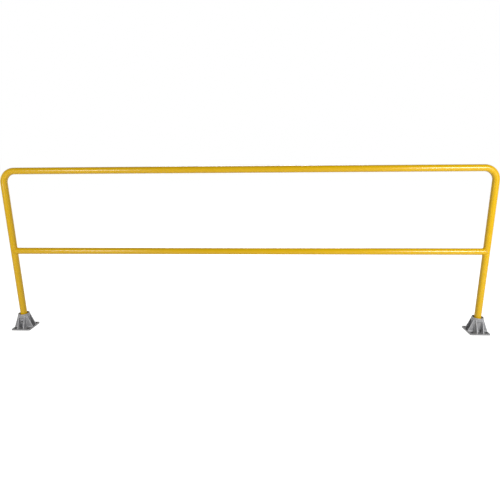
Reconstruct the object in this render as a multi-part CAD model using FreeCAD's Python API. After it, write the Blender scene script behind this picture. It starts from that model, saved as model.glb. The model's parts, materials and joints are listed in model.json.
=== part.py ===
import FreeCAD, Part
import math
import os

# A section of tubular safety railing. One bent tube makes both posts and the top rail, a mid rail is
# welded between the posts, and each post stands in a ribbed cast base that bolts to the floor.
# Millimetres. X runs along the rails, Y is the depth and Z is up. The origin is on the floor,
# midway between the posts.

# Railing as a whole
RAIL_LENGTH = 3048.0
RAIL_HEIGHT = 1067.0
MID_RAIL_HEIGHT = 535.0

# Tube and its bends
TUBE_DIAMETER = 41.3
TUBE_WALL = 2.8
BEND_RADIUS = 76.2

# Weld bead round each end of the mid rail, laid in short straight steps
WELD_WIDTH = 6.8
WELD_FLATS = 6
WELD_STEPS = 8

# Base plate and its anchor holes
PLATE_WIDTH = 127.0
PLATE_THICKNESS = 9.5
PLATE_CORNER_RADIUS = 9.0
PLATE_EDGE_CHAMFER = 1.4
ANCHOR_HOLE_DIAMETER = 14.3
ANCHOR_EDGE_DISTANCE = 19.05

# Socket that holds the post
SOCKET_HEIGHT = 101.6
SOCKET_FLOOR = 6.4
SOCKET_WALL = 7.6
POST_CLEARANCE = 0.8
MOUTH_RELIEF_WIDTH = 9.0
MOUTH_RELIEF_DEPTH = 10.0
COLLAR_HEIGHT = 23.0
COLLAR_PROJECTION = 7.0
COLLAR_EDGE_CHAMFER = 1.4

# Gusset ribs, a pair on each side of the socket
RIB_SPACING = 39.0
RIB_CREST_WIDTH = 4.6
RIB_ROOT_WIDTH = 6.6
RIB_ROOT_FLARE = 2.6
RIB_CREST_CHAMFER = 1.2
RIB_DROP = 3.0
RIB_TOE_INSET = 2.2
RIB_TOE_HEIGHT = 5.6

# Set screw that clamps the post
SCREW_HEIGHT = 52.0
SCREW_DIAMETER = 9.5
SCREW_CLEARANCE = 0.1
SCREW_LENGTH = 15.0
SCREW_KEY_ACROSS_FLATS = 4.8
SCREW_KEY_DEPTH = 6.0
BOSS_DIAMETER = 20.0
BOSS_PROJECTION = 5.5

# Sizes worked out from those above
tube_radius = TUBE_DIAMETER / 2
bore_radius = tube_radius + POST_CLEARANCE
neck_radius = bore_radius + SOCKET_WALL
collar_radius = neck_radius + COLLAR_PROJECTION
collar_bottom = SOCKET_HEIGHT - COLLAR_HEIGHT
neck_top = collar_bottom - COLLAR_PROJECTION
plate_reach = PLATE_WIDTH / 2
anchor_offset = plate_reach - ANCHOR_EDGE_DISTANCE
rib_offset = RIB_SPACING / 2
rib_top = SOCKET_HEIGHT - RIB_DROP
toe_reach = plate_reach - RIB_TOE_INSET
post_x = (RAIL_LENGTH - TUBE_DIAMETER) / 2
top_rail_height = RAIL_HEIGHT - tube_radius

ORIGIN = FreeCAD.Vector(0, 0, 0)
ALONG = FreeCAD.Vector(1, 0, 0)
OUTWARD = FreeCAD.Vector(0, -1, 0)
UP = FreeCAD.Vector(0, 0, 1)

# Edges within this angle of a direction count as running along it, so that drafted edges count too
PARALLEL_WITHIN_DEGREES = 2.5

# Sweep mode that takes a section round the corners of its path with mitres
MITRED = 1


def polygon_wire(points):
    """Closed loop of straight edges through the points."""
    return Part.makePolygon(points + points[:1])


def polygon_face(points):
    """Flat face with straight sides through the points."""
    return Part.Face(polygon_wire(points))


def regular_polygon(centre, radius, sides, first_axis, second_axis):
    """Corners of a regular polygon in the plane of two unit axes, the first corner on the first axis."""
    corners = []
    for side in range(sides):
        turn = 2 * math.pi * side / sides
        corners.append(centre + first_axis * radius * math.cos(turn) + second_axis * radius * math.sin(turn))
    return corners


def edges_along(shape, direction):
    """Straight edges of a shape that run along a unit direction, either way."""
    smallest_cosine = math.cos(math.radians(PARALLEL_WITHIN_DEGREES))
    return [
        edge for edge in shape.Edges
        if abs(edge.tangentAt(edge.FirstParameter).dot(direction)) > smallest_cosine
    ]


def fuse_all(shapes):
    """One solid from shapes that overlap, without the seams between coplanar faces."""
    return shapes[0].multiFuse(shapes[1:]).removeSplitter().Solids[0]


def make_frame_tube():
    """Both posts and the top rail, swept as one hollow tube through two bends."""
    bend_height = top_rail_height - BEND_RADIUS
    bend_x = post_x - BEND_RADIUS
    halfway = BEND_RADIUS * math.cos(math.radians(45))
    left_foot = FreeCAD.Vector(-post_x, 0, SOCKET_FLOOR)
    left_bend_start = FreeCAD.Vector(-post_x, 0, bend_height)
    left_bend_middle = FreeCAD.Vector(-bend_x - halfway, 0, bend_height + halfway)
    left_bend_end = FreeCAD.Vector(-bend_x, 0, top_rail_height)
    right_bend_start = FreeCAD.Vector(bend_x, 0, top_rail_height)
    right_bend_middle = FreeCAD.Vector(bend_x + halfway, 0, bend_height + halfway)
    right_bend_end = FreeCAD.Vector(post_x, 0, bend_height)
    right_foot = FreeCAD.Vector(post_x, 0, SOCKET_FLOOR)
    route = [
        Part.LineSegment(left_foot, left_bend_start),
        Part.Arc(left_bend_start, left_bend_middle, left_bend_end),
        Part.LineSegment(left_bend_end, right_bend_start),
        Part.Arc(right_bend_start, right_bend_middle, right_bend_end),
        Part.LineSegment(right_bend_end, right_foot),
    ]
    path = Part.Wire([run.toShape() for run in route])
    outside = Part.Face(Part.Wire(Part.makeCircle(tube_radius, left_foot, UP)))
    inside = Part.Face(Part.Wire(Part.makeCircle(tube_radius - TUBE_WALL, left_foot, UP)))
    return path.makePipe(outside).cut(path.makePipe(inside)).Solids[0]


def make_post_envelopes():
    """Solid cylinders that the two posts fill at the mid rail."""
    return [
        Part.makeCylinder(tube_radius, top_rail_height, FreeCAD.Vector(side * post_x, 0, 0), UP)
        for side in (-1, 1)
    ]


def make_mid_rail():
    """Hollow rail between the posts, its ends coped to seat on them."""
    start = FreeCAD.Vector(-post_x, 0, MID_RAIL_HEIGHT)
    rail = Part.makeCylinder(tube_radius, 2 * post_x, start, ALONG)
    rail = rail.cut(Part.makeCylinder(tube_radius - TUBE_WALL, 2 * post_x, start, ALONG))
    for envelope in make_post_envelopes():
        rail = rail.cut(envelope)
    return rail.Solids[0]


def make_weld_bead():
    """Bead on the saddle line between a post at the origin and a rail that leaves along +X."""
    centre = FreeCAD.Vector(0, 0, MID_RAIL_HEIGHT)
    bead_radius = WELD_WIDTH / 2
    saddle = []
    for step in range(WELD_STEPS + 1):
        turn = math.pi * (step / WELD_STEPS - 1 / 2)
        reach = tube_radius * math.cos(turn)
        saddle.append(centre + FreeCAD.Vector(reach, tube_radius * math.sin(turn), reach))
    lead = (ALONG + UP).normalize() * bead_radius
    start = saddle[0] - lead
    path = Part.makePolygon([start] + saddle + [saddle[-1] - lead])
    section = regular_polygon(start, bead_radius, WELD_FLATS, (ALONG - UP).normalize(), -OUTWARD)
    sweep = path.makePipeShell([polygon_wire(section)], True, False, MITRED)
    room = 2 * TUBE_DIAMETER
    above = Part.makeBox(2 * room, 2 * room, room, centre - FreeCAD.Vector(room, room, 0))
    upper = sweep.common(above)
    bead = fuse_all([upper, upper.mirror(centre, UP)])
    post = Part.makeCylinder(tube_radius, top_rail_height, ORIGIN, UP)
    rail = Part.makeCylinder(tube_radius, post_x, centre, ALONG)
    return bead.cut([post, rail]).Solids[0]


def make_plate():
    """Square plate with rounded corners and a chamfered top edge."""
    corner = FreeCAD.Vector(-plate_reach, -plate_reach, 0)
    plate = Part.makeBox(PLATE_WIDTH, PLATE_WIDTH, PLATE_THICKNESS, corner)
    plate = plate.makeFillet(PLATE_CORNER_RADIUS, edges_along(plate, UP))
    top = max(plate.Faces, key=lambda face: face.CenterOfMass.z)
    return plate.makeChamfer(PLATE_EDGE_CHAMFER, top.Edges)


def make_socket():
    """Round socket turned from its profile: a straight neck that swells to a collar at the rim."""
    outline = [
        (0, 0),
        (neck_radius, 0),
        (neck_radius, neck_top),
        (collar_radius, collar_bottom),
        (collar_radius, SOCKET_HEIGHT - COLLAR_EDGE_CHAMFER),
        (collar_radius - COLLAR_EDGE_CHAMFER, SOCKET_HEIGHT),
        (0, SOCKET_HEIGHT),
    ]
    profile = polygon_face([FreeCAD.Vector(radius, 0, height) for radius, height in outline])
    return profile.revolve(ORIGIN, UP, 360)


def make_rib_web():
    """Drafted web of one gusset, sloping from the collar to the plate's front edge."""
    half_crest = RIB_CREST_WIDTH / 2
    half_root = RIB_ROOT_WIDTH / 2
    toe_top = PLATE_THICKNESS + RIB_TOE_HEIGHT
    shoulder = math.sqrt(collar_radius ** 2 - (rib_offset + half_root) ** 2)
    foot = toe_reach + toe_top * (toe_reach - shoulder) / (rib_top - toe_top)
    section = polygon_face([
        FreeCAD.Vector(-half_root, 0, 0),
        FreeCAD.Vector(half_root, 0, 0),
        FreeCAD.Vector(half_crest, 0, rib_top),
        FreeCAD.Vector(-half_crest, 0, rib_top),
    ])
    side_outline = polygon_face([
        FreeCAD.Vector(-plate_reach, 0, 0),
        FreeCAD.Vector(-plate_reach, -foot, 0),
        FreeCAD.Vector(-plate_reach, -shoulder, rib_top),
        FreeCAD.Vector(-plate_reach, 0, rib_top),
    ])
    web = section.extrude(OUTWARD * foot).common(side_outline.extrude(ALONG * PLATE_WIDTH))
    crest = edges_along(web, FreeCAD.Vector(0, foot - shoulder, rib_top).normalize())
    web = web.makeChamfer(RIB_CREST_CHAMFER, crest)
    kept = Part.makeBox(PLATE_WIDTH, toe_reach, rib_top, FreeCAD.Vector(-plate_reach, -toe_reach, 0))
    return web.common(kept)


def make_rib_root():
    """Strip with flared sides that blends one gusset into the plate."""
    half_root = RIB_ROOT_WIDTH / 2
    half_foot = half_root + RIB_ROOT_FLARE
    flare_top = PLATE_THICKNESS + RIB_ROOT_FLARE
    section = polygon_face([
        FreeCAD.Vector(-half_foot, 0, 0),
        FreeCAD.Vector(half_foot, 0, 0),
        FreeCAD.Vector(half_foot, 0, PLATE_THICKNESS),
        FreeCAD.Vector(half_root, 0, flare_top),
        FreeCAD.Vector(-half_root, 0, flare_top),
        FreeCAD.Vector(-half_foot, 0, PLATE_THICKNESS),
    ])
    return section.extrude(OUTWARD * toe_reach)


def make_base():
    """Cast base with its set screw boss towards -Y, centred on the post."""
    rib = make_rib_web().fuse(make_rib_root())
    ribs = []
    for quarter in range(4):
        for side in (-1, 1):
            turned = rib.translated(FreeCAD.Vector(side * rib_offset, 0, 0))
            turned.rotate(ORIGIN, UP, 90 * quarter)
            ribs.append(turned)
    screw_centre = FreeCAD.Vector(0, 0, SCREW_HEIGHT)
    boss = Part.makeCylinder(BOSS_DIAMETER / 2, neck_radius + BOSS_PROJECTION, screw_centre, OUTWARD)
    casting = fuse_all([make_plate(), make_socket(), boss] + ribs)
    mouth = FreeCAD.Vector(0, 0, SOCKET_HEIGHT - MOUTH_RELIEF_DEPTH)
    cuts = [
        Part.makeCylinder(bore_radius, SOCKET_HEIGHT, FreeCAD.Vector(0, 0, SOCKET_FLOOR), UP),
        Part.makeCylinder(bore_radius + MOUTH_RELIEF_WIDTH, MOUTH_RELIEF_DEPTH, mouth, UP),
        Part.makeCylinder(SCREW_DIAMETER / 2 + SCREW_CLEARANCE, PLATE_WIDTH, screw_centre, OUTWARD),
    ]
    for x in (-anchor_offset, anchor_offset):
        for y in (-anchor_offset, anchor_offset):
            place = FreeCAD.Vector(x, y, 0)
            cuts.append(Part.makeCylinder(ANCHOR_HOLE_DIAMETER / 2, SOCKET_HEIGHT, place, UP))
    return casting.cut(cuts).Solids[0]


def make_set_screw():
    """Headless screw with a hexagon key socket, its flat point on the post's -Y side."""
    point = FreeCAD.Vector(0, -tube_radius, SCREW_HEIGHT)
    screw = Part.makeCylinder(SCREW_DIAMETER / 2, SCREW_LENGTH, point, OUTWARD)
    key_radius = SCREW_KEY_ACROSS_FLATS / math.sqrt(3)
    key_floor = point + OUTWARD * (SCREW_LENGTH - SCREW_KEY_DEPTH)
    key_socket = polygon_face(regular_polygon(key_floor, key_radius, 6, ALONG, UP))
    return screw.cut(key_socket.extrude(OUTWARD * SCREW_KEY_DEPTH)).Solids[0]


def placed(shape, side):
    """Copy of a left-hand piece at one post. The right-hand one is turned half round."""
    copy = shape.copy()
    if side > 0:
        copy.rotate(ORIGIN, UP, 180)
    copy.translate(FreeCAD.Vector(side * post_x, 0, 0))
    return copy


def make_pieces():
    """Every piece of the railing, by name."""
    pieces = {"frame_tube": make_frame_tube(), "mid_rail": make_mid_rail()}
    at_each_post = {
        "base_casting": make_base(),
        "set_screw": make_set_screw(),
        "weld_bead": make_weld_bead(),
    }
    for hand, side in (("left", -1), ("right", 1)):
        for name, shape in at_each_post.items():
            pieces[hand + "_" + name] = placed(shape, side)
    return pieces


os.makedirs("parts", exist_ok=True)
for piece_name, piece in make_pieces().items():
    piece.exportStep("parts/" + piece_name + ".step")
    print(piece_name, piece.ShapeType, len(piece.Solids), piece.isValid(), round(piece.Volume))
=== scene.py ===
"""Dresses a section of tubular safety railing and sets it in a plain photo studio.

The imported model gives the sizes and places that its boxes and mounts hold. Each sub-assembly is a class
that builds its mesh in the same frame and stands for its own node, and each finish is a class that makes
one procedural material. Metres. X runs along the rails, +Y points away from the camera and Z is up.
"""
import json
import logging
import math
from abc import ABC, abstractmethod
from dataclasses import dataclass
from enum import Enum
from typing import Any, Mapping, Sequence, Union

import bmesh
import bpy
import numpy as np
from mathutils import Matrix, Vector


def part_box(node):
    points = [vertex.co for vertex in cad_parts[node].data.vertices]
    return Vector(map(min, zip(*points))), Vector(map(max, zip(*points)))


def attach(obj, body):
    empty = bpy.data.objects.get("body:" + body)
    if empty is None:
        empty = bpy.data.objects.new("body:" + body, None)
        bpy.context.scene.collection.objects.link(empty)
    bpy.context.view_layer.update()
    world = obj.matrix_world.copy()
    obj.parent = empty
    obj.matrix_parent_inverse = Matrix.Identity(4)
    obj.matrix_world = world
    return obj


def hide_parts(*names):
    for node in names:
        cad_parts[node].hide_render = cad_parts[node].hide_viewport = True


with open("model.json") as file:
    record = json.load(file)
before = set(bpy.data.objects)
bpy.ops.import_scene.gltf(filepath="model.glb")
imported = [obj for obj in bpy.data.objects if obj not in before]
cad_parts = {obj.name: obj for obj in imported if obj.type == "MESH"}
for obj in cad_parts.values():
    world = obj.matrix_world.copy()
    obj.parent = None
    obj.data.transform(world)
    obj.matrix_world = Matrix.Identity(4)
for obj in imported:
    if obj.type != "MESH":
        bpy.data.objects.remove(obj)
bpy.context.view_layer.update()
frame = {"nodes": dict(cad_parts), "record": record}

log = logging.getLogger("railing")

BODY = "root"
MM_IN_METRE = 1000
MERGE_DISTANCE = 0.00001
NOISE_MIDDLE = 0.5

Colour = tuple[float, float, float]
Place = tuple[float, float, float]
Value = Union["Signal", float, int, bool, str, Sequence[float], bpy.types.ID]

WHITE: Colour = (1.0, 1.0, 1.0)


class Slot(Enum):
    """Material slots of the record."""

    POWDER_COAT = "yellow_powder_coat"
    CAST_ALUMINIUM = "cast_aluminium"
    SCREW_STEEL = "screw_steel"


class Hand(Enum):
    """The two ends of the railing, as the sign of their X."""

    LEFT = -1
    RIGHT = 1

    @property
    def word(self) -> str:
        """Name of this end, as the nodes spell it."""
        return self.name.lower()


class Mark(Enum):
    """Attributes by which a base casting's mesh tells its finish where to differ."""

    # Crests get rubbed wear and a painted highlight, pockets painted bounce light, and the anchor holes
    # painted shade.
    CREST = "crest"
    POCKET = "pocket"
    BORE = "bore"


class Signal:
    """One output of a node, on which arithmetic adds Math nodes."""

    def __init__(self, sheet: "NodeSheet", socket: bpy.types.NodeSocket) -> None:
        """Keeps the socket and the sheet that it belongs to."""
        self.sheet = sheet
        self.socket = socket

    def __add__(self, other: Value) -> "Signal":
        """This plus other."""
        return self.sheet.math("ADD", self, other)

    def __radd__(self, other: Value) -> "Signal":
        """Other plus this."""
        return self.sheet.math("ADD", other, self)

    def __sub__(self, other: Value) -> "Signal":
        """This minus other."""
        return self.sheet.math("SUBTRACT", self, other)

    def __rsub__(self, other: Value) -> "Signal":
        """Other minus this."""
        return self.sheet.math("SUBTRACT", other, self)

    def __mul__(self, other: Value) -> "Signal":
        """This times other."""
        return self.sheet.math("MULTIPLY", self, other)

    def __rmul__(self, other: Value) -> "Signal":
        """Other times this."""
        return self.sheet.math("MULTIPLY", other, self)

    def __truediv__(self, other: Value) -> "Signal":
        """This over other."""
        return self.sheet.math("DIVIDE", self, other)

    def __rtruediv__(self, other: Value) -> "Signal":
        """Other over this."""
        return self.sheet.math("DIVIDE", other, self)

    def __gt__(self, other: Value) -> "Signal":
        """1 where this is greater than other, else 0."""
        return self.sheet.math("GREATER_THAN", self, other)

    def __lt__(self, other: Value) -> "Signal":
        """1 where this is less than other, else 0."""
        return self.sheet.math("LESS_THAN", self, other)

    def __abs__(self) -> "Signal":
        """This without its sign."""
        return self.sheet.math("ABSOLUTE", self)

    def clamped(self) -> "Signal":
        """This held between 0 and 1."""
        return self.sheet.add("ShaderNodeClamp", sockets={"Value": self})

    def as_sign(self) -> "Signal":
        """-1 where this is 0, and 1 where it is 1."""
        return self * 2.0 - 1.0


class NodeSheet:
    """A node tree that is being written, for a material, a world or geometry."""

    def __init__(self, tree: bpy.types.NodeTree) -> None:
        """Takes the tree to write in and empties it."""
        self.tree = tree
        tree.nodes.clear()

    def add(
        self,
        kind: str,
        settings: Mapping[str, Any] | None = None,
        sockets: Mapping[str | int, Value] | None = None,
        output: str | None = None,
    ) -> Signal:
        """Adds one node.

        Args:
            kind: Blender's type name of the node.
            settings: The node's own properties, set first.
            sockets: Values or signals by the name or number of the input.
            output: Name of the output to return, or None for the first one in use.

        Returns:
            The chosen output.
        """
        node = self.tree.nodes.new(kind)
        for name, value in (settings or {}).items():
            setattr(node, name, value)
        for key, value in (sockets or {}).items():
            self.feed(self.pick(node.inputs, key), value)
        return Signal(self, self.pick(node.outputs, output))

    def end(self, kind: str, socket: str | int, signal: Signal) -> None:
        """Feeds a signal to the tree's last node, which has no outputs."""
        self.feed(self.pick(self.tree.nodes.new(kind).inputs, socket), signal)

    @staticmethod
    def pick(sockets: Sequence[bpy.types.NodeSocket], key: str | int | None) -> bpy.types.NodeSocket:
        """Finds a socket.

        Args:
            sockets: A node's inputs or outputs.
            key: Its number, its name, or None for the first one in use.

        Returns:
            The socket, the one in use where several share a name.
        """
        if isinstance(key, int):
            return sockets[key]
        return next(socket for socket in sockets if socket.enabled and key in (None, socket.name))

    def feed(self, socket: bpy.types.NodeSocket, value: Value) -> None:
        """Links a signal to an input, or sets the input's own value.

        Args:
            socket: The input.
            value: The signal or the value.
        """
        if isinstance(value, Signal):
            self.tree.links.new(value.socket, socket)
        else:
            socket.default_value = value

    def math(self, operation: str, *operands: Value) -> Signal:
        """Math node on the operands, in order."""
        return self.add("ShaderNodeMath", {"operation": operation}, dict(enumerate(operands)))

    def vector_math(self, operation: str, *operands: Value, output: str = "Vector") -> Signal:
        """Vector Math node on the operands, in order."""
        return self.add("ShaderNodeVectorMath", {"operation": operation}, dict(enumerate(operands)), output)

    def scaled(self, vector: Signal, factor: Value) -> Signal:
        """Vector times a number."""
        return self.add("ShaderNodeVectorMath", {"operation": "SCALE"}, {0: vector, "Scale": factor})

    def vector(self, x: Value, y: Value, z: Value) -> Signal:
        """Vector from its parts."""
        return self.add("ShaderNodeCombineXYZ", sockets={"X": x, "Y": y, "Z": z})

    def part(self, vector: Signal, axis: str) -> Signal:
        """X, Y or Z of a vector."""
        return self.add("ShaderNodeSeparateXYZ", sockets={"Vector": vector}, output=axis)

    def mixed(self, factor: Value, first: Value, second: Value) -> Signal:
        """Colour between two colours."""
        settings = {"data_type": "RGBA", "clamp_factor": True}
        return self.add("ShaderNodeMix", settings, {"Factor": factor, "A": first, "B": second})

    def noise(self, place: Signal, size: Value, detail: float = 2.0, roughness: float = 0.5) -> Signal:
        """Smooth noise from 0 to 1, its bumps about a size in metres apart."""
        values = {"Vector": place, "Scale": 1 / size, "Detail": detail, "Roughness": roughness}
        return self.add("ShaderNodeTexNoise", sockets=values, output="Fac")

    def bump(self, height: Signal, depth: float) -> Signal:
        """Normal of a surface whose height varies by a depth in metres."""
        return self.add("ShaderNodeBump", sockets={"Height": height, "Distance": depth})


class GeometrySheet(NodeSheet):
    """A Geometry Nodes tree with named sizes, run once to make a plain mesh."""

    def __init__(self, name: str) -> None:
        """Starts a tree with one geometry output.

        Args:
            name: Name of the tree.
        """
        super().__init__(bpy.data.node_groups.new(name, "GeometryNodeTree"))
        self.tree.interface.new_socket("Geometry", in_out="OUTPUT", socket_type="NodeSocketGeometry")
        self.source = self.tree.nodes.new("NodeGroupInput")
        self.values: dict[str, float | int] = {}

    def _input(self, name: str, socket_type: str) -> tuple[str, Signal]:
        """Adds an input to the tree.

        Args:
            name: Plain name of the input.
            socket_type: Blender's type name of its socket.

        Returns:
            The input's identifier and its signal.
        """
        item = self.tree.interface.new_socket(name, in_out="INPUT", socket_type=socket_type)
        socket = next(output for output in self.source.outputs if output.identifier == item.identifier)
        return item.identifier, Signal(self, socket)

    def mesh_input(self) -> Signal:
        """Geometry of the object that the tree runs on."""
        return self._input("Geometry", "NodeSocketGeometry")[1]

    def size(self, name: str, value: float | int) -> Signal:
        """Adds a named size to the tree.

        Args:
            name: Plain name of the size.
            value: Its value, a whole number for a count or a seed.

        Returns:
            The size as a signal.
        """
        socket_type = "NodeSocketInt" if isinstance(value, int) else "NodeSocketFloat"
        identifier, signal = self._input(name, socket_type)
        self.values[identifier] = value
        return signal

    def position(self) -> Signal:
        """Place of each point."""
        return self.add("GeometryNodeInputPosition")

    def moved(self, geometry: Signal, position: Signal) -> Signal:
        """Geometry with its points set to new places."""
        return self.add("GeometryNodeSetPosition", sockets={"Geometry": geometry, "Position": position})

    def close(self, geometry: Signal, material: bpy.types.Material) -> None:
        """Ends the tree with real geometry that carries a material.

        Args:
            geometry: What the tree has made.
            material: The finish of all its faces.
        """
        real = self.add("GeometryNodeRealizeInstances", sockets={"Geometry": geometry})
        dressed = self.add("GeometryNodeSetMaterial", sockets={"Geometry": real, "Material": material})
        self.end("NodeGroupOutput", 0, dressed)

    def attach(self, piece: bpy.types.Object) -> None:
        """Puts the tree on a piece, with its sizes set by identifier.

        Args:
            piece: The object that gets the modifier.
        """
        modifier = piece.modifiers.new(self.tree.name, "NODES")
        modifier.node_group = self.tree
        for identifier, value in self.values.items():
            modifier[identifier] = value


def rgba(colour: Colour) -> tuple[float, float, float, float]:
    """Colour with full cover."""
    return (*colour, 1.0)


def new_material(name: str) -> tuple[bpy.types.Material, NodeSheet, Signal]:
    """Makes a material that has nothing on its sheet yet but object coordinates.

    Args:
        name: Name of the material.

    Returns:
        The material, its sheet and the coordinates.
    """
    material = bpy.data.materials.new(name)
    material.use_nodes = True
    sheet = NodeSheet(material.node_tree)
    return material, sheet, sheet.add("ShaderNodeTexCoord", output="Object")


def new_piece(name: str) -> bpy.types.Object:
    """Makes an object at the origin with an empty mesh.

    Args:
        name: Name of the object and of its mesh.

    Returns:
        The object, linked to the scene.
    """
    piece = bpy.data.objects.new(name, bpy.data.meshes.new(name))
    bpy.context.scene.collection.objects.link(piece)
    return piece


def make_plain(piece: bpy.types.Object) -> None:
    """Turns what a piece's modifiers give into its own plain mesh.

    Args:
        piece: An object with live modifiers, which are removed.
    """
    bpy.context.view_layer.update()
    graph = bpy.context.evaluated_depsgraph_get()
    made = bpy.data.meshes.new_from_object(
        piece.evaluated_get(graph), preserve_all_data_layers=True, depsgraph=graph)
    spent = piece.data
    piece.modifiers.clear()
    piece.data = made
    bpy.data.meshes.remove(spent)
    made.name = piece.name


def fuse(piece: bpy.types.Object, voxel: float, smoothing: int) -> None:
    """Adds the modifiers that turn a piece's shells into one soft skin.

    Args:
        piece: The object that gets the modifiers.
        voxel: Size of the skin's faces.
        smoothing: Rounds of smoothing.
    """
    melt = piece.modifiers.new("melt", "REMESH")
    melt.mode = "VOXEL"
    melt.voxel_size = voxel
    soften = piece.modifiers.new("soften", "SMOOTH")
    soften.iterations = smoothing


def face_outwards(mesh: bpy.types.Mesh) -> None:
    """Closes a mesh's seams and turns its faces outwards.

    Args:
        mesh: A mesh whose faces enclose a volume.
    """
    work = bmesh.new()
    work.from_mesh(mesh)
    bmesh.ops.remove_doubles(work, verts=work.verts, dist=MERGE_DISTANCE)
    bmesh.ops.recalc_face_normals(work, faces=work.faces)
    work.to_mesh(mesh)
    work.free()


def shade(mesh: bpy.types.Mesh, crease_degrees: float) -> None:
    """Shades a mesh smooth, apart from edges that turn by more than an angle."""
    mesh.shade_smooth()
    mesh.set_sharp_from_angle(angle=math.radians(crease_degrees))


@dataclass(frozen=True)
class RailingSizes:
    """Sizes that several pieces share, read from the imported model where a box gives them."""

    post_x: float
    tube_radius: float
    foot_z: float
    top_rail_z: float
    mid_rail_z: float
    tube_wall: float = 0.0028
    bend_radius: float = 0.0762

    @classmethod
    def from_frame(cls) -> "RailingSizes":
        """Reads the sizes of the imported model.

        Returns:
            The sizes.
        """
        tube_low, tube_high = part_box("frame_tube")
        rail_low, rail_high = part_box("mid_rail")
        radius = (rail_high.y - rail_low.y) / 2
        return cls(
            post_x=tube_high.x - radius,
            tube_radius=radius,
            foot_z=tube_low.z,
            top_rail_z=tube_high.z - radius,
            mid_rail_z=(rail_low.z + rail_high.z) / 2,
        )


class Finish(ABC):
    """A surface finish that makes one procedural material."""

    label: str

    @abstractmethod
    def paint(self, sheet: NodeSheet, place: Signal) -> dict[str, Value]:
        """Writes the finish.

        Args:
            sheet: The material's sheet.
            place: Object coordinates.

        Returns:
            Values or signals for the shader's sockets, by name.
        """

    def material(self) -> bpy.types.Material:
        """Makes the material.

        Returns:
            A material with this finish.
        """
        material, sheet, place = new_material(self.label)
        surface = sheet.add("ShaderNodeBsdfPrincipled", sockets=self.paint(sheet, place))
        sheet.end("ShaderNodeOutputMaterial", "Surface", surface)
        return material


@dataclass(frozen=True)
class PowderCoat(Finish):
    """Glossy yellow powder coat with a fine orange peel, a little darker where it is thin."""

    label: str = "yellow_powder_coat"
    thin_colour: Colour = (0.61, 0.363, 0.0)
    full_colour: Colour = (0.668, 0.397, 0.0)
    drift_size: float = 0.22
    peel_size: float = 0.0024
    peel_depth: float = 0.000005
    roughness: float = 0.21
    roughness_spread: float = 0.03
    specular: float = 0.33

    def paint(self, sheet: NodeSheet, place: Signal) -> dict[str, Value]:
        """Writes the coat.

        Args:
            sheet: The material's sheet.
            place: Object coordinates.

        Returns:
            Values or signals for the shader's sockets, by name.
        """
        drift = sheet.noise(place, self.drift_size, detail=4.0)
        peel = sheet.noise(place, self.peel_size, detail=1.0)
        return {
            "Base Color": sheet.mixed(drift, rgba(self.thin_colour), rgba(self.full_colour)),
            "Roughness": self.roughness + (drift - NOISE_MIDDLE) * self.roughness_spread,
            "Specular IOR Level": self.specular,
            "Normal": sheet.bump(peel, self.peel_depth),
        }


@dataclass(frozen=True)
class CastAluminium(Finish):
    """Sand-cast aluminium, mottled between a dull and a plain grey.

    It is lighter on its crests, partly rubbed wear and partly a painted highlight, and lighter in its
    pockets, which is painted bounce light. It is painted darker near the floor as a contact shadow and
    painted dark in its anchor holes as their shade. Each cover is how much of that colour shows at most.
    """

    label: str = "cast_aluminium"
    dull_colour: Colour = (0.19, 0.19, 0.195)
    plain_colour: Colour = (0.33, 0.33, 0.338)
    # Rubbed wear and a painted highlight on the crests.
    rubbed_colour: Colour = (0.42, 0.42, 0.43)
    mottle_size: float = 0.018
    grain_size: float = 0.0011
    grain_depth: float = 0.0004
    metallic: float = 0.2
    roughness: float = 0.48
    grain_gloss: float = 0.2
    rubbed_gloss: float = 0.12
    # Painted bounce light in the pockets.
    clean_colour: Colour = (0.47, 0.47, 0.48)
    pocket_cover: float = 0.7
    # Painted contact shadow near the floor.
    grime_colour: Colour = (0.1, 0.098, 0.095)
    grime_height: float = 0.014
    grime_cover: float = 0.8
    # Painted shade in the anchor holes.
    bore_colour: Colour = (0.02, 0.02, 0.02)
    bore_cover: float = 0.95

    def paint(self, sheet: NodeSheet, place: Signal) -> dict[str, Value]:
        """Writes the casting's skin.

        Args:
            sheet: The material's sheet.
            place: Object coordinates.

        Returns:
            Values or signals for the shader's sockets, by name.
        """
        crest, pocket, bore = (
            sheet.add("ShaderNodeAttribute", {"attribute_name": mark.value}, output="Fac")
            for mark in (Mark.CREST, Mark.POCKET, Mark.BORE))
        mottle = sheet.noise(place, self.mottle_size, detail=5.0, roughness=0.6)
        grain = sheet.noise(place, self.grain_size, detail=3.0, roughness=0.65)
        near_floor = (1.0 - sheet.part(place, "Z") / self.grime_height).clamped()
        skin = sheet.mixed(mottle, rgba(self.dull_colour), rgba(self.plain_colour))
        # Painted bounce light: pockets lighten toward a paler grey.
        skin = sheet.mixed(pocket * self.pocket_cover, skin, rgba(self.clean_colour))
        # Painted highlight and rubbed wear: crests lighten toward a paler grey.
        skin = sheet.mixed(crest, skin, rgba(self.rubbed_colour))
        # Painted contact shadow: the skin darkens towards the floor.
        skin = sheet.mixed(near_floor * self.grime_cover, skin, rgba(self.grime_colour))
        # Painted shade: the anchor holes' walls are painted near black.
        skin = sheet.mixed(bore * self.bore_cover, skin, rgba(self.bore_colour))
        grained = self.roughness + (grain - NOISE_MIDDLE) * self.grain_gloss
        return {
            "Base Color": skin,
            "Metallic": self.metallic,
            "Roughness": grained - crest * self.rubbed_gloss,
            "Normal": sheet.bump(grain, self.grain_depth),
        }


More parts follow.
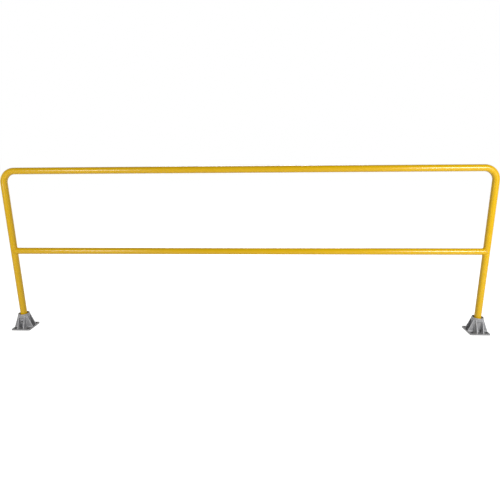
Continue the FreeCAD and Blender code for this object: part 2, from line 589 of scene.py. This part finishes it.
@dataclass(frozen=True)
class BlackOxide(Finish):
    """Oiled black oxide on the steel of the set screws."""

    label: str = "screw_steel"
    dark_colour: Colour = (0.022, 0.021, 0.02)
    worn_colour: Colour = (0.09, 0.085, 0.08)
    patch_size: float = 0.003
    metallic: float = 0.85
    roughness: float = 0.38
    roughness_spread: float = 0.3

    def paint(self, sheet: NodeSheet, place: Signal) -> dict[str, Value]:
        """Writes the oxide.

        Args:
            sheet: The material's sheet.
            place: Object coordinates.

        Returns:
            Values or signals for the shader's sockets, by name.
        """
        patch = sheet.noise(place, self.patch_size, detail=4.0)
        return {
            "Base Color": sheet.mixed(patch, rgba(self.dark_colour), rgba(self.worn_colour)),
            "Metallic": self.metallic,
            "Roughness": self.roughness + (patch - NOISE_MIDDLE) * self.roughness_spread,
        }


class SubAssembly(ABC):
    """One piece of the railing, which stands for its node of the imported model."""

    node: str
    slot: Slot

    @abstractmethod
    def model(self) -> bpy.types.Object:
        """Builds and dresses the piece's mesh.

        Returns:
            The piece, a plain mesh with its finish.
        """

    def build(self) -> None:
        """Makes the piece, lets it stand for its node and reports it."""
        piece = self.model()
        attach(piece, BODY)
        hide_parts(self.node)
        log.info("%s: %d faces in place of %s", piece.name, len(piece.data.polygons), self.node)


@dataclass
class TubeFrame(SubAssembly):
    """Both posts and the top rail, bent from one tube."""

    sizes: RailingSizes
    coat: bpy.types.Material
    node: str = "frame_tube"
    slot: Slot = Slot.POWDER_COAT
    sides: int = 96
    bend_steps: int = 32
    crease_degrees: float = 40.0

    def sweep(self) -> GeometrySheet:
        """Writes the tree that sweeps a circle along the posts and the top rail.

        Returns:
            The tree.
        """
        sheet = GeometrySheet("bent_tube")
        reach = sheet.size("Post distance from the middle", self.sizes.post_x)
        foot = sheet.size("Foot height", self.sizes.foot_z)
        top = sheet.size("Top rail height", self.sizes.top_rail_z)
        bend = sheet.size("Bend radius", self.sizes.bend_radius)
        radius = sheet.size("Tube radius", self.sizes.tube_radius)
        steps = sheet.size("Steps in a bend", self.bend_steps)
        sides = sheet.size("Sides", self.sides)
        # The corners run from foot to foot: the last two are at the right, the middle two at the top.
        corner_count = 4
        middle = (corner_count - 1) / 2
        corners = sheet.add("GeometryNodeMeshLine", sockets={"Count": corner_count})
        number = sheet.add("GeometryNodeInputIndex")
        at_right = number > middle
        at_top = abs(number - middle) < 1.0
        route = sheet.vector(at_right.as_sign() * reach, 0.0, foot + at_top * (top - foot))
        path = sheet.add("GeometryNodeMeshToCurve", sockets={"Mesh": sheet.moved(corners, route)})
        rounded = sheet.add(
            "GeometryNodeFilletCurve", {"mode": "POLY"}, {"Curve": path, "Count": steps, "Radius": bend})
        section = sheet.add(
            "GeometryNodeCurvePrimitiveCircle", sockets={"Resolution": sides, "Radius": radius})
        tube = sheet.add("GeometryNodeCurveToMesh", sockets={"Curve": rounded, "Profile Curve": section})
        sheet.close(tube, self.coat)
        return sheet

    def model(self) -> bpy.types.Object:
        """Builds and dresses the piece's mesh.

        Returns:
            The piece, a plain mesh with its finish.
        """
        piece = new_piece("frame_tube_coated")
        self.sweep().attach(piece)
        # The swept skin is the tube's outside, and its wall lies within.
        wall = piece.modifiers.new("tube_wall", "SOLIDIFY")
        wall.thickness = self.sizes.tube_wall
        wall.offset = -1.0
        make_plain(piece)
        shade(piece.data, self.crease_degrees)
        return piece


@dataclass
class MidRail(SubAssembly):
    """Straight rail between the posts, its ends coped to them."""

    sizes: RailingSizes
    coat: bpy.types.Material
    node: str = "mid_rail"
    slot: Slot = Slot.POWDER_COAT
    sides: int = 96
    crease_degrees: float = 40.0

    def cope(self) -> GeometrySheet:
        """Writes the tree that rolls a grid into the rail's outer wall, its coped ends and its inner wall.

        Returns:
            The tree.
        """
        sheet = GeometrySheet("coped_rail")
        reach = sheet.size("Post distance from the middle", self.sizes.post_x)
        height = sheet.size("Rail height", self.sizes.mid_rail_z)
        radius = sheet.size("Tube radius", self.sizes.tube_radius)
        wall = sheet.size("Tube wall", self.sizes.tube_wall)
        sides = sheet.size("Sides", self.sides)
        # The grid's X is one turn. Its rows, -2 to 2, go along the outside to the right end, back along the
        # inside and out again at the left end, where the last row meets the first. So rows -1 and 0 are at
        # the right, and rows 0 and 1 inside.
        bands = 4
        values = {"Size X": 1.0, "Size Y": float(bands), "Vertices X": sides + 1, "Vertices Y": bands + 1}
        grid = sheet.add("GeometryNodeMeshGrid", sockets=values)
        place = sheet.position()
        turn = sheet.part(place, "X") * math.tau
        row = sheet.part(place, "Y")
        at_right = abs(row + 0.5) < 1.0
        inside = abs(row - 0.5) < 1.0
        distance = radius - wall * inside
        y = distance * sheet.math("SINE", turn)
        z = distance * sheet.math("COSINE", turn)
        end = reach - sheet.math("SQRT", radius * radius - y * y)
        rolled = sheet.moved(grid, sheet.vector(at_right.as_sign() * end, y, height + z))
        sheet.close(rolled, self.coat)
        return sheet

    def model(self) -> bpy.types.Object:
        """Builds and dresses the piece's mesh.

        Returns:
            The piece, a plain mesh with its finish.
        """
        piece = new_piece("mid_rail_coated")
        self.cope().attach(piece)
        make_plain(piece)
        face_outwards(piece.data)
        shade(piece.data, self.crease_degrees)
        return piece


@dataclass
class WeldBead(SubAssembly):
    """Rippled weld where the mid rail meets one post, coated with the tubes.

    Attributes:
        half_width: Radius of a ripple's drop.
        ripples: Drops round the weld.
        ripple_squash: Thickness of a drop along the weld, as a share of its width.
        size_spread: How far a drop's width strays from its usual one, as a share of it.
        seed: Start of the random widths, to which the hand's sign is added.
        path_points: Points of the line that the drops lie on.
        drop_segments: Faces round a drop before the drops are fused.
        drop_rings: Faces from end to end of such a drop.
        voxel: Size of the bead's faces.
        smoothing: Rounds that soften the drops into one bead.
        sunk: How deep the bead's hidden side lies under the tubes' surfaces.
    """

    hand: Hand
    sizes: RailingSizes
    coat: bpy.types.Material
    slot: Slot = Slot.POWDER_COAT
    half_width: float = 0.0034
    ripples: int = 64
    ripple_squash: float = 0.62
    size_spread: float = 0.07
    seed: int = 5
    path_points: int = 240
    drop_segments: int = 16
    drop_rings: int = 10
    voxel: float = 0.0005
    smoothing: int = 2
    sunk: float = 0.0003
    crease_degrees: float = 60.0

    @property
    def node(self) -> str:
        """Name of the node that the bead stands for."""
        return f"{self.hand.word}_weld_bead"

    def ripple_tree(self) -> GeometrySheet:
        """Writes the tree that lays flattened drops round the saddle where the two tubes cross.

        Returns:
            The tree.
        """
        sheet = GeometrySheet("weld_ripples")
        post_x = sheet.size("Post place", self.hand.value * self.sizes.post_x)
        height = sheet.size("Rail height", self.sizes.mid_rail_z)
        radius = sheet.size("Tube radius", self.sizes.tube_radius)
        half_width = sheet.size("Half width", self.half_width)
        ripples = sheet.size("Ripples", self.ripples)
        squash = sheet.size("Ripple squash", self.ripple_squash)
        spread = sheet.size("Size spread", self.size_spread)
        seed = sheet.size("Seed", self.seed + self.hand.value)
        path_points = sheet.size("Path points", self.path_points)
        ring = sheet.add("GeometryNodeMeshCircle", sockets={"Vertices": path_points, "Radius": 1.0})
        across = sheet.part(sheet.position(), "X") * radius
        upward = sheet.part(sheet.position(), "Y") * radius
        saddle = sheet.vector(post_x - self.hand.value * abs(upward), across, height + upward)
        path = sheet.add("GeometryNodeMeshToCurve", sockets={"Mesh": sheet.moved(ring, saddle)})
        stops = sheet.add("GeometryNodeResampleCurve", sockets={"Curve": path, "Count": ripples})
        along = sheet.add(
            "FunctionNodeAlignRotationToVector", {"axis": "Z"},
            {"Vector": sheet.add("GeometryNodeInputTangent")})
        drop = sheet.add(
            "GeometryNodeMeshUVSphere",
            sockets={"Segments": self.drop_segments, "Rings": self.drop_rings, "Radius": half_width})
        limits = {"Min": 1.0 - spread, "Max": 1.0 + spread, "Seed": seed}
        girth = sheet.add("FunctionNodeRandomValue", {"data_type": "FLOAT"}, limits)
        squashed = sheet.vector(girth, girth, squash)
        drops = sheet.add(
            "GeometryNodeInstanceOnPoints",
            sockets={"Points": stops, "Instance": drop, "Rotation": along, "Scale": squashed})
        sheet.close(drops, self.coat)
        return sheet

    def seat(self, mesh: bpy.types.Mesh) -> None:
        """Draws the bead's hidden side up to just under the two tubes' surfaces.

        Args:
            mesh: The bead's mesh.
        """
        count = len(mesh.vertices)
        flat = np.empty(count * 3)
        mesh.vertices.foreach_get("co", flat)
        points = flat.reshape(count, 3)
        middle = np.array([self.hand.value * self.sizes.post_x, 0.0, self.sizes.mid_rail_z])
        skin = self.sizes.tube_radius - self.sunk
        # The post is round in X and Y, the rail in Y and Z.
        for axes in ([0, 1], [1, 2]):
            spread = points[:, axes] - middle[axes]
            distance = np.linalg.norm(spread, axis=1, keepdims=True)
            points[:, axes] = middle[axes] + spread * np.maximum(skin / distance, 1.0)
        mesh.vertices.foreach_set("co", points.ravel())
        mesh.update()

    def model(self) -> bpy.types.Object:
        """Builds and dresses the piece's mesh.

        Returns:
            The piece, a plain mesh with its finish.
        """
        piece = new_piece(f"{self.hand.word}_weld_coated")
        self.ripple_tree().attach(piece)
        fuse(piece, self.voxel, self.smoothing)
        make_plain(piece)
        self.seat(piece.data)
        # The fused faces all use the first material slot, which is empty.
        piece.data.materials.clear()
        piece.data.materials.append(self.coat)
        shade(piece.data, self.crease_degrees)
        return piece


@dataclass
class BaseCasting(SubAssembly):
    """Ribbed cast base of one post, with the soft edges and skin of a sand casting.

    Attributes:
        voxel: Size of the skin's faces.
        smoothing: Rounds that soften the edges.
        skin_size: Distance between the skin's bumps.
        skin_depth: How deep the skin dips between them.
        underside: Height below which the skin stays flat.
        crest_reach: Rounds of blur that a point is measured against to find crests.
        crest_height: How far a point stands out where the crest's mark is full.
        pocket_reach: Rounds of blur that a point is measured against to find pockets.
        pocket_depth: How far a point lies in where the pocket's mark is full.
        bore_rim: How far an anchor hole's mark reaches past its wall.
    """

    hand: Hand
    metal: bpy.types.Material
    slot: Slot = Slot.CAST_ALUMINIUM
    voxel: float = 0.00115
    smoothing: int = 5
    skin_size: float = 0.006
    skin_depth: float = 0.00035
    underside: float = 0.001
    crest_reach: int = 6
    crest_height: float = 0.0006
    pocket_reach: int = 40
    pocket_depth: float = 0.0012
    bore_rim: float = 0.0012
    crease_degrees: float = 75.0

    @property
    def node(self) -> str:
        """Name of the node that the base stands for."""
        return f"{self.hand.word}_base_casting"

    def bulge(self, sheet: GeometrySheet, reach: Signal) -> Signal:
        """Measures how far each point stands out from its neighbours.

        Args:
            sheet: The tree to write in.
            reach: Rounds of blur, which set how far the neighbours reach.

        Returns:
            The height above the blurred surface, negative in a hollow.
        """
        place = sheet.position()
        blurred = sheet.add(
            "GeometryNodeBlurAttribute", {"data_type": "FLOAT_VECTOR"}, {"Value": place, "Iterations": reach})
        rise = sheet.vector_math("SUBTRACT", place, blurred)
        return sheet.vector_math("DOT_PRODUCT", rise, sheet.add("GeometryNodeInputNormal"), output="Value")

    def in_anchor_hole(self, sheet: GeometrySheet) -> Signal:
        """Finds the walls of the anchor holes, whose places the base's mount gives.

        Args:
            sheet: The tree to write in.

        Returns:
            1 on a hole's wall, else 0.
        """
        name = f"{self.hand.word}_floor_anchors"
        mount = next(mount for mount in frame["record"]["mounts"] if mount["name"] == name)
        dims = mount["dims"]
        half_spacing = sheet.size("Half anchor spacing", dims["spacing_x_mm"] / MM_IN_METRE / 2)
        reach = sheet.size("Anchor hole reach", dims["hole_r_mm"] / MM_IN_METRE + self.bore_rim)
        place = sheet.position()
        across = abs(sheet.part(place, "X") - mount["pos_m"][0]) - half_spacing
        along = abs(sheet.part(place, "Y") - mount["pos_m"][1]) - half_spacing
        return sheet.math("SQRT", across * across + along * along) < reach

    def cast_skin(self) -> GeometrySheet:
        """Writes the tree that roughens the surface inwards and marks crests, pockets and anchor holes.

        Returns:
            The tree.
        """
        sheet = GeometrySheet("cast_skin")
        body = sheet.mesh_input()
        bump_size = sheet.size("Skin bump size", self.skin_size)
        depth = sheet.size("Skin depth", self.skin_depth)
        floor = sheet.size("Flat underside", self.underside)
        crest_reach = sheet.size("Crest reach", self.crest_reach)
        crest_height = sheet.size("Crest height", self.crest_height)
        pocket_reach = sheet.size("Pocket reach", self.pocket_reach)
        pocket_depth = sheet.size("Pocket depth", self.pocket_depth)
        place = sheet.position()
        rough = sheet.noise(place, bump_size, detail=3.0)
        inwards = 0.0 - rough * depth * (sheet.part(place, "Z") > floor)
        dip = sheet.scaled(sheet.add("GeometryNodeInputNormal"), inwards)
        skin = sheet.moved(body, sheet.vector_math("ADD", place, dip))
        marks = {
            # Crests get rubbed wear and a painted highlight, pockets painted bounce light, and the anchor
            # holes painted shade.
            Mark.CREST: self.bulge(sheet, crest_reach) / crest_height,
            Mark.POCKET: 0.0 - self.bulge(sheet, pocket_reach) / pocket_depth,
            Mark.BORE: self.in_anchor_hole(sheet),
        }
        for mark, strength in marks.items():
            skin = sheet.add(
                "GeometryNodeStoreNamedAttribute", {"data_type": "FLOAT", "domain": "POINT"},
                {"Geometry": skin, "Name": mark.value, "Value": strength.clamped()})
        sheet.close(skin, self.metal)
        return sheet

    def model(self) -> bpy.types.Object:
        """Builds and dresses the piece's mesh.

        Returns:
            The piece, a plain mesh with its finish.
        """
        piece = new_piece(f"{self.hand.word}_base_cast")
        solid = bmesh.new()
        solid.from_mesh(frame["nodes"][self.node].data)
        bmesh.ops.remove_doubles(solid, verts=solid.verts, dist=MERGE_DISTANCE)
        solid.to_mesh(piece.data)
        solid.free()
        fuse(piece, self.voxel, self.smoothing)
        self.cast_skin().attach(piece)
        make_plain(piece)
        shade(piece.data, self.crease_degrees)
        return piece


@dataclass
class SetScrew(SubAssembly):
    """Headless screw with a thread and a hexagon key socket.

    Attributes:
        segments: Corners of each ring of its surface.
        rows_in_pitch: Rings in one turn of the thread.
        chamfer: How far the thread's ends are cut back.
        key_depth: Depth of the key socket's flats.
        key_point_depth: Depth of the drilled point below them.
    """

    hand: Hand
    steel: bpy.types.Material
    slot: Slot = Slot.SCREW_STEEL
    segments: int = 48
    pitch: float = 0.0015875
    rows_in_pitch: int = 8
    thread_depth: float = 0.0008
    chamfer: float = 0.0009
    key_across_flats: float = 0.0048
    key_depth: float = 0.006
    key_point_depth: float = 0.001
    crease_degrees: float = 32.0

    @property
    def node(self) -> str:
        """Name of the node that the screw stands for."""
        return f"{self.hand.word}_set_screw"

    def rings(self, radius: float, length: float) -> list[tuple[np.ndarray, np.ndarray]]:
        """Works out the rings of the screw's surface, from its point round to the floor of its key socket.

        Args:
            radius: Outer radius of the thread.
            length: Length of the screw.

        Returns:
            The radius and the height above the point of each ring's corners.
        """
        turns = np.arange(self.segments) / self.segments
        level = np.ones(self.segments)
        rows = round(length / self.pitch * self.rows_in_pitch)
        rings = []
        for row in range(rows + 1):
            height = length * row / rows
            phase = (height / self.pitch - turns) % 1.0
            thread = radius - self.thread_depth * np.abs(2.0 * phase - 1.0)
            end = min(height, length - height)
            rings.append((np.minimum(thread, radius - self.chamfer + end), level * height))
        # The key socket's corners lie on its flats, each in its own direction.
        sixth = math.pi / 3
        across = (turns * math.tau) % sixth - sixth / 2
        key = self.key_across_flats / 2 / np.cos(across)
        rings.append((key, level * length))
        rings.append((key, level * (length - self.key_depth)))
        return rings

    def surface(self, point: Vector, radius: float, length: float) -> bmesh.types.BMesh:
        """Joins the rings into one closed surface.

        Args:
            point: Middle of the screw's point, which bears on the post.
            radius: Outer radius of the thread.
            length: Length of the screw.

        Returns:
            The surface, its faces turned outwards.
        """
        turns = np.arange(self.segments) / self.segments * math.tau
        work = bmesh.new()
        corners = []
        for radii, heights in self.rings(radius, length):
            corners.append([
                work.verts.new(point + Vector((r * math.cos(t), self.hand.value * h, r * math.sin(t))))
                for r, h, t in zip(radii, heights, turns)
            ])
        for lower, upper in zip(corners, corners[1:]):
            for side in range(self.segments):
                after = (side + 1) % self.segments
                work.faces.new((lower[side], lower[after], upper[after], upper[side]))
        ends = (0.0, length - self.key_depth - self.key_point_depth)
        for ring, height in zip((corners[0], corners[-1]), ends):
            middle = work.verts.new(point + Vector((0.0, self.hand.value * height, 0.0)))
            for side in range(self.segments):
                work.faces.new((ring[side], ring[(side + 1) % self.segments], middle))
        bmesh.ops.recalc_face_normals(work, faces=work.faces)
        return work

    def model(self) -> bpy.types.Object:
        """Builds and dresses the piece's mesh.

        Returns:
            The piece, a plain mesh with its finish.
        """
        low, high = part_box(self.node)
        point_y = low.y if self.hand is Hand.RIGHT else high.y
        point = Vector(((low.x + high.x) / 2, point_y, (low.z + high.z) / 2))
        work = self.surface(point, (high.x - low.x) / 2, high.y - low.y)
        piece = new_piece(f"{self.hand.word}_screw_threaded")
        work.to_mesh(piece.data)
        work.free()
        piece.data.materials.append(self.steel)
        shade(piece.data, self.crease_degrees)
        return piece


@dataclass(frozen=True)
class PhotoCamera:
    """Pinhole camera that stands where the photograph was taken from.

    Attributes:
        yaw_degrees: Turn towards +X.
        pitch_degrees: Tilt downwards.
        roll_degrees: Turn about the line of sight.
        focal_pixels: Focal length in pixels of the photograph.
        image_pixels: Width of the photograph.
        sensor: Width of the camera's sensor in millimetres.
    """

    place: Place = (0.152, -2.523, 1.174)
    yaw_degrees: float = -2.63
    pitch_degrees: float = 14.03
    roll_degrees: float = -0.54
    focal_pixels: float = 409.6
    image_pixels: float = 500.0
    sensor: float = 36.0

    def build(self) -> None:
        """Sets the scene's camera."""
        yaw = math.radians(self.yaw_degrees)
        pitch = math.radians(self.pitch_degrees)
        roll = math.radians(self.roll_degrees)
        forward = Vector((
            math.sin(yaw) * math.cos(pitch),
            math.cos(yaw) * math.cos(pitch),
            -math.sin(pitch),
        ))
        level = Vector((math.cos(yaw), -math.sin(yaw), 0.0))
        lift = level.cross(forward)
        right = level * math.cos(roll) + lift * math.sin(roll)
        up = lift * math.cos(roll) - level * math.sin(roll)
        lens = bpy.data.cameras.new("photo_camera")
        lens.sensor_width = self.sensor
        lens.lens = self.sensor * self.focal_pixels / self.image_pixels
        camera = bpy.data.objects.new("photo_camera", lens)
        stance = Matrix((right, up, -forward)).transposed().to_4x4()
        stance.translation = Vector(self.place)
        camera.matrix_world = stance
        bpy.context.scene.collection.objects.link(camera)
        bpy.context.scene.camera = camera


@dataclass(frozen=True)
class SoftLamp:
    """Oval lamp that faces a point of the railing."""

    label: str
    place: Place
    aim: Place
    width: float
    height: float
    radiance: float

    def build(self) -> None:
        """Adds the lamp."""
        area = math.pi * self.width * self.height / 4
        data = bpy.data.lights.new(self.label, "AREA")
        data.shape = "ELLIPSE"
        data.size = self.width
        data.size_y = self.height
        data.energy = self.radiance * math.pi * area
        lamp = bpy.data.objects.new(self.label, data)
        lamp.location = self.place
        lamp.rotation_euler = (Vector(self.aim) - Vector(self.place)).to_track_quat("-Z", "Y").to_euler()
        bpy.context.scene.collection.objects.link(lamp)


@dataclass
class Studio:
    """Pale floor, white surroundings and soft lamps.

    Attributes:
        floor_reach: Half the floor's width.
        floor_colour: The floor's own colour, which shows in shadows.
        cloud_size: Distance between the faint clouds on it.
        cloud_dimming: How bright the clouds are, as a share of the floor.
        near_glow: Glow that lifts the floor near the railing to white.
        near_reach: Distance from the middle at which that glow starts to change to the walls' brightness.
        far_reach: Distance at which the change ends.
        front_wall: Brightness of the wall behind the camera. The back wall is white.
        wall_blend: How far the two walls blend each way, as Y of the direction.
        fill: Brightness of the soft light from all round.
        ceiling: Brightness of the ceiling.
        wall_top: Where the walls start to change to the ceiling, as Z of the direction.
        ceiling_edge: Where that change ends.
        plate_corner: Width of the rim inside a base plate's outline under which the floor still glows.
    """

    floor_reach: float = 40.0
    floor_colour: Colour = (0.6, 0.6, 0.6)
    cloud_size: float = 0.8
    cloud_dimming: float = 0.97
    near_glow: float = 0.89
    near_reach: float = 1.6
    far_reach: float = 3.2
    front_wall: float = 0.8
    wall_blend: float = 0.4
    fill: float = 0.15
    ceiling: float = 0.2
    wall_top: float = 0.35
    ceiling_edge: float = 0.8
    plate_corner: float = 0.009
    lamps: tuple[SoftLamp, ...] = (
        SoftLamp("left_lamp", (-2.05, -2.5, 1.2), (-0.6, 0.0, 0.8), 1.25, 0.76, 19.2),
        SoftLamp("right_lamp", (2.36, -2.5, 1.4), (1.2, 0.0, 0.8), 0.94, 0.78, 48.5),
        SoftLamp("back_lamp", (0.0, 3.0, 1.6), (0.0, 0.0, 0.6), 3.0, 0.8, 8.0),
    )

    @staticmethod
    def seen(sheet: NodeSheet) -> Signal:
        """Finds the rays that show the surroundings to the camera, also by gloss or through glass.

        Args:
            sheet: The sheet of the floor or of the world.

        Returns:
            1 for such a ray, else 0.
        """
        direct, glossy, through = (
            sheet.add("ShaderNodeLightPath", output=name)
            for name in ("Is Camera Ray", "Is Glossy Ray", "Is Transmission Ray"))
        return (direct + glossy + through).clamped()

    def wall(self, toward_back: Signal) -> Signal:
        """Brightness of the walls, by the Y of the direction in which they are seen."""
        behind_camera = (0.5 - toward_back / (2.0 * self.wall_blend)).clamped()
        return 1.0 - behind_camera * (1.0 - self.front_wall)

    def covered(self, sheet: NodeSheet, place: Signal) -> Signal:
        """Finds the floor well inside a base plate's outline, so that the plate's holes stay dark.

        Args:
            sheet: The floor's sheet.
            place: Object coordinates.

        Returns:
            1 there, else 0.
        """
        low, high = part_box(f"{Hand.RIGHT.word}_base_casting")
        reach = high.y - self.plate_corner
        across = abs(abs(sheet.part(place, "X")) - (low.x + high.x) / 2) < reach
        along = abs(sheet.part(place, "Y")) < reach
        return across * along

    def floor_material(self) -> bpy.types.Material:
        """Makes the floor's material, which shows white where it is lit and keeps soft shadows.

        Returns:
            The material.
        """
        material, sheet, place = new_material("pale_floor")
        material.cycles.emission_sampling = "NONE"
        dim = tuple(part * self.cloud_dimming for part in self.floor_colour)
        cloudy = sheet.mixed(sheet.noise(place, self.cloud_size), rgba(dim), rgba(self.floor_colour))
        matt = sheet.add("ShaderNodeBsdfDiffuse", sockets={"Color": cloudy})
        away = sheet.vector_math("LENGTH", place, output="Value")
        haze = ((away - self.near_reach) / (self.far_reach - self.near_reach)).clamped()
        far_glow = self.wall(sheet.part(place, "Y") / away) - self.fill * self.floor_colour[0]
        white = self.near_glow + haze * (far_glow - self.near_glow)
        strength = white * (1.0 - self.covered(sheet, place))
        glow = sheet.add("ShaderNodeEmission", sockets={"Strength": strength})
        bright = sheet.add("ShaderNodeAddShader", sockets={0: matt, 1: glow})
        shown = sheet.add("ShaderNodeMixShader", sockets={"Fac": self.seen(sheet), 1: matt, 2: bright})
        sheet.end("ShaderNodeOutputMaterial", "Surface", shown)
        return material

    def floor(self) -> None:
        """Adds the floor."""
        slab = new_piece("studio_floor")
        reach = self.floor_reach
        corners = [(-reach, -reach, 0.0), (reach, -reach, 0.0), (reach, reach, 0.0), (-reach, reach, 0.0)]
        slab.data.from_pydata(corners, [], [(0, 1, 2, 3)])
        slab.data.materials.append(self.floor_material())

    def surroundings(self) -> None:
        """Sets a world with a white back wall, a pale grey front wall, a dim ceiling and a soft fill."""
        world = bpy.data.worlds.new("studio_white")
        world.use_nodes = True
        world.cycles.sampling_method = "NONE"
        sheet = NodeSheet(world.node_tree)
        direction = sheet.add("ShaderNodeTexCoord", output="Generated")
        overhead = (sheet.part(direction, "Z") - self.wall_top) / (self.ceiling_edge - self.wall_top)
        wall = self.wall(sheet.part(direction, "Y"))
        white = wall - overhead.clamped() * (wall - self.ceiling)
        strength = self.fill + self.seen(sheet) * (white - self.fill)
        glow = sheet.add("ShaderNodeBackground", sockets={"Color": rgba(WHITE), "Strength": strength})
        sheet.end("ShaderNodeOutputWorld", "Surface", glow)
        bpy.context.scene.world = world

    def build(self) -> None:
        """Adds the floor, the surroundings and the lamps."""
        self.floor()
        self.surroundings()
        for lamp in self.lamps:
            lamp.build()
        bpy.context.scene.view_settings.view_transform = "Standard"
        log.info("studio: floor, surroundings and %d lamps", len(self.lamps))


def main() -> None:
    """Builds the railing piece by piece, then the studio round it."""
    sizes = RailingSizes.from_frame()
    coat = PowderCoat().material()
    metal = CastAluminium().material()
    steel = BlackOxide().material()
    TubeFrame(sizes, coat).build()
    MidRail(sizes, coat).build()
    for hand in Hand:
        WeldBead(hand, sizes, coat).build()
        BaseCasting(hand, metal).build()
        SetScrew(hand, steel).build()
    Studio().build()
    PhotoCamera().build()


if __name__ == "__main__":
    logging.basicConfig(level=logging.INFO, format="%(name)s: %(message)s")
    main()
